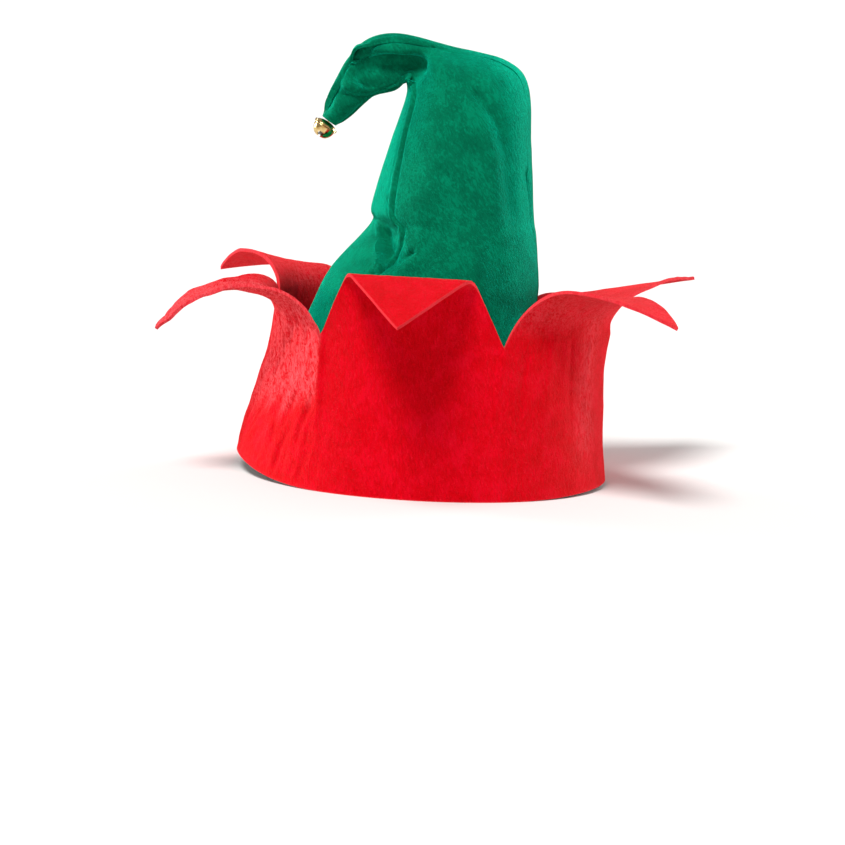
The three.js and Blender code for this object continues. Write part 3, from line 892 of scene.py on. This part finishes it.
def crownPanel(name, side):
    first, last = ("front", "back") if side > 0 else ("back", "front")
    settings = dict(crown, columns=crown["leftColumns" if side > 0 else "rightColumns"])
    rowTurns = {}
    seamPoints = {}

    def form(across, up):
        if up not in rowTurns:
            start, end = seamTurn(first, up), seamTurn(last, up) + (0 if side > 0 else tau)
            rowTurns[up] = start, end
            seamPoints[up] = crownPoint(up, start), crownPoint(up, end)
        start, end = rowTurns[up]
        step = (end - start) / settings["columns"]
        turn = lerp(start, end, across)
        point = crownPoint(up, turn)
        for seam, atSeam in ((first, across < 1e-6), (last, across > 1 - 1e-6)):
            if atSeam:
                inwards = crownPoint(up, turn + step) - crownPoint(up, turn - step)
                inwards *= 1 if across < 0.5 else -1
                direction = seamDirection(seam, up)
                inwards -= direction * inwards.dot(direction)
                point = point + inwards.normalized() * hat["seamGap"] / 2
        return point, crown["fromCutEdge"]

    def relief(point, across, up):
        toFirst, toLast = ((point - seam).length for seam in seamPoints[up])
        fade = smooth(up / crown["rimStill"]) * smooth((1 - up) / crown["endStill"])
        firstDepth, lastDepth = seamDepth(first, up), seamDepth(last, up)
        lift = crown["wave"] * softWave(point, crown["waveSize"], 5.3 + side)
        lift += crown["fineWave"] * softWave(point, crown["fineWaveSize"], 1.7)
        for away, depth in ((toFirst, firstDepth), (toLast, lastDepth)):
            lift -= crown["seamGroove"] * depth * nearSeam(away, crown["grooveWidth"])
            if side < 0:
                roll = nearSeam(away - crown["rollAway"], crown["rollWidth"])
                crease = nearSeam(away - crown["rollCreaseAway"], crown["rollCreaseWidth"])
                lift += depth * (crown["seamRoll"] * roll - crown["rollCrease"] * crease)
        for fold in crownFolds:
            start = Vector((fold["fromX"], fold["fromY"], fold["fromZ"]))
            end = Vector((fold["toX"], fold["toY"], fold["toZ"]))
            away, along = distanceToLine(point, start, end)
            nearest = start.lerp(end, along)
            away /= fold["width"] * (fold["toOne"] if point.y < nearest.y else 1)
            if away < 4:
                lift += fold["lift"] * (math.exp(-1.6 * away) if fold["sharp"] else math.exp(-away * away))
        toBack, toFront = (toLast, toFirst) if side > 0 else (toFirst, toLast)
        # painted sheen: along the back seam, and on the right panel beside the front seam above the fold,
        # fading out low on the crown and near the peak
        paintedSheen = crown["backSheenPaint"] * nearSeam(toBack, crown["backWidth"])
        if side < 0:
            beside = smooth((toFront - 2) / 3) * nearSeam(toFront, crown["frontWidth"])
            beside *= crown["frontSheenPaint"] * smooth((up - crown["frontSheenPaintFrom"]) / 0.03)
            paintedSheen = max(paintedSheen, beside)
        paintedSheen *= smooth((crown["sheenPaintTo"] - up) / 0.1) * smooth((up - crown["sheenPaintFrom"]) / 0.06)
        return lift * fade, paintedSheen

    return feltSheet(name, settings, form, relief, greenFelt)


crownLeft = crownPanel("crownLeftFelt", 1)
crownRight = crownPanel("crownRightFelt", -1)
print("crown made")

for piece, node, slotName in (
    (cuffPiece, "cuff", "red_felt"),
    (crownLeft, "crown_left_panel", "green_felt"),
    (crownRight, "crown_right_panel", "green_felt"),
):
    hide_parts(node)
    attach(piece, "root")
for piece, flat, area, restsOn in (
    (cuffPiece, cuff["flat"], cuff["area"], [crownLeft, crownRight]),
    (crownLeft, crown["leftFlat"], crown["leftArea"], [cuffPiece]),
    (crownRight, crown["rightFlat"], crown["rightArea"], [cuffPiece]),
):
    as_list(restsOn)

# bell: two stamped shells crimped at a flange, a wire shank and two crossed slots, all in
# millimetres about its own upright line until it is hung
bell = {
    "diameter": 12.4,
    "flange": 0.8,
    "topHeight": 2.4,
    "bottomHeight": 6.8,
    "bottomFullness": 0.7,
    "sheet": 0.5,
    "gap": 0.3,
    "lean": 32,
    "slotWidth": 1.2,
    "slotHole": 3.2,
    "slotReach": 4.65,
    "shankWire": 1,
    "shankHeight": 3,
    "shankWidth": 2.4,
    "steps": 72,
    "domeSteps": 20,
    "rimSteps": 6,
}


def domeProfile(radius, height, fullness):
    quarter = [tau / 4 * step / bell["domeSteps"] for step in range(bell["domeSteps"] + 1)]
    return [(radius * max(0, math.cos(a)) ** fullness, height * math.sin(a)) for a in quarter]


def shellProfile(height, fullness):
    radius, sheet = bell["diameter"] / 2, bell["sheet"]
    inside = domeProfile(radius - sheet, height - sheet, fullness)
    outside = domeProfile(radius, height, fullness)
    outside[0] = (radius, sheet)
    flangeEdge = []
    for step in range(bell["rimSteps"] + 1):
        turn = tau / 2 * step / bell["rimSteps"] - tau / 4
        out = radius + bell["flange"] + sheet / 2 * (math.cos(turn) - 1)
        flangeEdge.append((out, sheet / 2 * (1 + math.sin(turn))))
    return inside[::-1] + flangeEdge + outside


def spunShell(height, fullness):
    bm = bmesh.new()
    verts = [bm.verts.new((max(r, 0), 0, z)) for r, z in shellProfile(height, fullness)]
    edges = [bm.edges.new(pair) for pair in zip(verts, verts[1:])]
    bmesh.ops.spin(
        bm,
        geom=verts + edges,
        cent=(0, 0, 0),
        axis=(0, 0, 1),
        angle=tau,
        steps=bell["steps"],
        use_merge=True,
    )
    bmesh.ops.remove_doubles(bm, verts=bm.verts, dist=1e-4)
    bmesh.ops.dissolve_degenerate(bm, edges=bm.edges, dist=1e-5)
    bmesh.ops.recalc_face_normals(bm, faces=bm.faces)
    return bm


def shankWire():
    leg = bell["shankWidth"] / 2
    foot = bell["topHeight"] - bell["sheet"] / 2
    shoulder = bell["topHeight"] + bell["shankHeight"] - bell["shankWire"] / 2 - leg
    bm = bmesh.new()
    ring = bmesh.ops.create_circle(bm, cap_ends=True, segments=14, radius=bell["shankWire"] / 2)["verts"]
    bmesh.ops.translate(bm, verts=ring, vec=(-leg, 0, foot))
    made = bmesh.ops.extrude_face_region(bm, geom=list(bm.faces))["geom"]
    top = [item for item in made if isinstance(item, bmesh.types.BMVert)]
    bmesh.ops.translate(bm, verts=top, vec=(0, 0, shoulder - foot))
    cap = [item for item in made if isinstance(item, bmesh.types.BMFace)]
    spun = bmesh.ops.spin(
        bm,
        geom=cap,
        cent=(0, 0, shoulder),
        axis=(0, 1, 0),
        angle=tau / 2,
        steps=14,
    )["geom_last"]
    cap = [item for item in spun if isinstance(item, bmesh.types.BMFace)]
    made = bmesh.ops.extrude_face_region(bm, geom=cap)["geom"]
    low = [item for item in made if isinstance(item, bmesh.types.BMVert)]
    bmesh.ops.translate(bm, verts=low, vec=(0, 0, foot - shoulder))
    inner = [face for face in bm.faces if all(len(edge.link_faces) > 2 for edge in face.edges)]
    bmesh.ops.delete(bm, geom=inner, context="FACES_ONLY")
    bmesh.ops.recalc_face_normals(bm, faces=bm.faces)
    return bm


def cutOrJoin(piece, operation, bm):
    tool = meshObject("tool", bm, goldMaterial)
    change = piece.modifiers.new(operation.lower(), "BOOLEAN")
    change.operation = operation
    change.solver = "EXACT"
    change.object = tool
    applyModifiers(piece)
    bpy.data.objects.remove(tool)


def hangBell(piece):
    down = Vector((0, -math.sin(math.radians(bell["lean"])), -math.cos(math.radians(bell["lean"]))))
    peakEnd = (crownPoint(1, 0) + crownPoint(1, math.pi)) / 2
    place = peakEnd + down * (bell["topHeight"] + bell["sheet"] + bell["gap"]) + shift
    turn = Matrix.Rotation(math.radians(-bell["lean"]), 4, "X")
    piece.data.transform(Matrix.Translation(place * mm) @ turn @ Matrix.Scale(mm, 4))


def finishBellPiece(piece, node):
    for polygon in piece.data.polygons:
        polygon.use_smooth = True
    piece.data.set_sharp_from_angle(angle=math.radians(38))
    hangBell(piece)
    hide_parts(node)
    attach(piece, "root")


bellTop = meshObject("bellTopShell", spunShell(bell["topHeight"], 1), goldMaterial)
cutOrJoin(bellTop, "UNION", shankWire())
bottomShell = spunShell(bell["bottomHeight"], bell["bottomFullness"])
bellBottom = meshObject("bellBottomShell", bottomShell, goldMaterial)
slotSize = (2 * bell["slotReach"], bell["slotWidth"], bell["bottomHeight"])
holeLean = math.atan2(bell["slotReach"], bell["bottomHeight"] * 0.7)
for turn in (0, tau / 4):
    slot = bmesh.new()
    bmesh.ops.create_cube(slot, size=1)
    aroundBell = Matrix.Rotation(turn, 3, "Z")
    bmesh.ops.scale(slot, verts=slot.verts, vec=slotSize)
    bmesh.ops.translate(slot, verts=slot.verts, vec=(0, 0, bell["bottomHeight"]))
    bmesh.ops.rotate(slot, verts=slot.verts, cent=(0, 0, 0), matrix=aroundBell)
    cutOrJoin(bellBottom, "DIFFERENCE", slot)
    for lean in (-holeLean, holeLean):
        hole = bmesh.new()
        bmesh.ops.create_cone(
            hole,
            cap_ends=True,
            segments=32,
            radius1=bell["slotHole"] / 2,
            radius2=bell["slotHole"] / 2,
            depth=bell["diameter"],
        )
        bmesh.ops.translate(hole, verts=hole.verts, vec=(0, 0, bell["diameter"] / 2))
        bmesh.ops.rotate(hole, verts=hole.verts, cent=(0, 0, 0), matrix=Matrix.Rotation(lean, 3, "Y"))
        bmesh.ops.rotate(hole, verts=hole.verts, cent=(0, 0, 0), matrix=aroundBell)
        cutOrJoin(bellBottom, "DIFFERENCE", hole)
bellBottom.data.transform(Matrix.Translation((0, 0, -bell["gap"])) @ Matrix.Rotation(math.pi, 4, "X"))
finishBellPiece(bellTop, "bell_top")
finishBellPiece(bellBottom, "bell_bottom")
pelletNode = bpy.data.objects["bell_pellet"]
for slot in pelletNode.material_slots:
    slot.material = pelletMaterial
print("bell made")

# thread: whip stitches that go through the shank and the end of the peak, each an oval loop
stitches = {
    "thread": 0.36,
    "across": 2.9,  # half sizes of a loop
    "tall": 2.3,
    "middleAway": 2.1,  # a loop's middle from the bell's upright line and from its flange
    "middleUp": 6.0,
    "threadSides": 8,
    "loopSteps": 28,
    "fan": (-24, 2, 27),  # degrees round the bell's upright line, on either side
}
bm = bmesh.new()
for side in (0, 180):
    for fan in stitches["fan"]:
        before = set(bm.verts)
        sides, radius = stitches["threadSides"], stitches["thread"] / 2
        ring = bmesh.ops.create_circle(bm, segments=sides, radius=radius)["verts"]
        bmesh.ops.rotate(bm, verts=ring, cent=(0, 0, 0), matrix=Matrix.Rotation(tau / 4, 3, "X"))
        bmesh.ops.translate(bm, verts=ring, vec=(1, 0, 0))
        edges = list({edge for vert in ring for edge in vert.link_edges})
        bmesh.ops.spin(
            bm,
            geom=ring + edges,
            cent=(0, 0, 0),
            axis=(0, 0, 1),
            angle=tau,
            steps=stitches["loopSteps"],
            use_merge=True,
        )
        made = [vert for vert in bm.verts if vert not in before]
        for vert in made:
            around = Vector((vert.co.x, vert.co.y, 0))
            spoke = around.normalized()
            proud = around.length - 1
            wide, tall = stitches["across"] + proud, stitches["tall"] + proud
            vert.co = Vector((spoke.x * wide, vert.co.z, spoke.y * tall))
        bmesh.ops.translate(bm, verts=made, vec=(stitches["middleAway"], 0, stitches["middleUp"]))
        spin = Matrix.Rotation(math.radians(90 + side + fan), 3, "Z")
        bmesh.ops.rotate(bm, verts=made, cent=(0, 0, 0), matrix=spin)
bmesh.ops.recalc_face_normals(bm, faces=bm.faces)
bellThread = meshObject("bellThread", bm, greenThread)
hangBell(bellThread)
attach(bellThread, "root")
print("thread made")

# floor, light and camera
studio = {
    "floorSize": 60,
    "floorColour": "#dadad8",
    "world": 0.42,
}
# large soft lights far off. towards: where each one stands. angle: how wide it looks, in degrees
softLights = table(
    "name towards strength angle",
    ("overheadLight", (0.56, -0.26, 1), 3.6, 20),
    ("leftLight", (-0.45, -1, 0.07), 4.4, 22),
    ("rightLight", (-0.85, 1, 0.08), 4.0, 22),
)
floorMaterial = newMaterial("paleFloor")
finishMaterial(
    floorMaterial,
    addNode(
        floorMaterial,
        "ShaderNodeBsdfPrincipled",
        {"Base Color": linear(studio["floorColour"]), "Roughness": 0.9, "Specular IOR Level": 0.1},
    ),
)
floorMesh = bmesh.new()
bmesh.ops.create_grid(floorMesh, x_segments=1, y_segments=1, size=studio["floorSize"] / 2)
floor = meshObject("floor", floorMesh, floorMaterial)

world = bpy.data.worlds.new("softStudio")
world.use_nodes = True
background = world.node_tree.nodes["Background"]
background.inputs["Color"].default_value = (1, 1, 1, 1)
background.inputs["Strength"].default_value = studio["world"]
bpy.context.scene.world = world
bpy.context.scene.view_settings.view_transform = "Standard"

for soft in softLights:
    light = bpy.data.lights.new(soft["name"], "SUN")
    light.energy = soft["strength"]
    light.angle = math.radians(soft["angle"])
    lamp = bpy.data.objects.new(soft["name"], light)
    lamp.rotation_euler = (-Vector(soft["towards"])).to_track_quat("-Z", "Y").to_euler()
    bpy.context.scene.collection.objects.link(lamp)

# camera: the photograph's angle, with the picture's size taken as 845 by 845
photo = {
    "width": 845,
    "millimetresPerPixel": 0.55,  # at the hat's middle
    "distance": 1800,
    "elevation": 9.5,
    "roll": 3.0,
    "originX": 420.5,  # pixel where the middle of the rim's oval is seen
    "originY": 473.5,
    "sensor": 36,
}
tilt, roll = math.radians(photo["elevation"]), math.radians(photo["roll"])
backward = Vector((math.cos(tilt), 0, math.sin(tilt)))
level = Vector((0, 1, 0))
upward = backward.cross(level)
rightward = level * math.cos(roll) + upward * math.sin(roll)
skyward = upward * math.cos(roll) - level * math.sin(roll)
focal = photo["distance"] / photo["millimetresPerPixel"]  # in pixels
offRight = (photo["originX"] - photo["width"] / 2) / focal
offDown = (photo["originY"] - photo["width"] / 2) / focal
cameraPlace = (backward - rightward * offRight + skyward * offDown) * photo["distance"] + shift
cameraData = bpy.data.cameras.new("photoCamera")
cameraData.sensor_width = photo["sensor"]
cameraData.lens = focal * photo["sensor"] / photo["width"]
cameraData.clip_end = 200
camera = bpy.data.objects.new("photoCamera", cameraData)
camera.matrix_world = Matrix.Translation(cameraPlace * mm) @ Matrix(
    (rightward, skyward, backward)
).transposed().to_4x4()
bpy.context.scene.collection.objects.link(camera)
bpy.context.scene.camera = camera
print("stage and camera made")
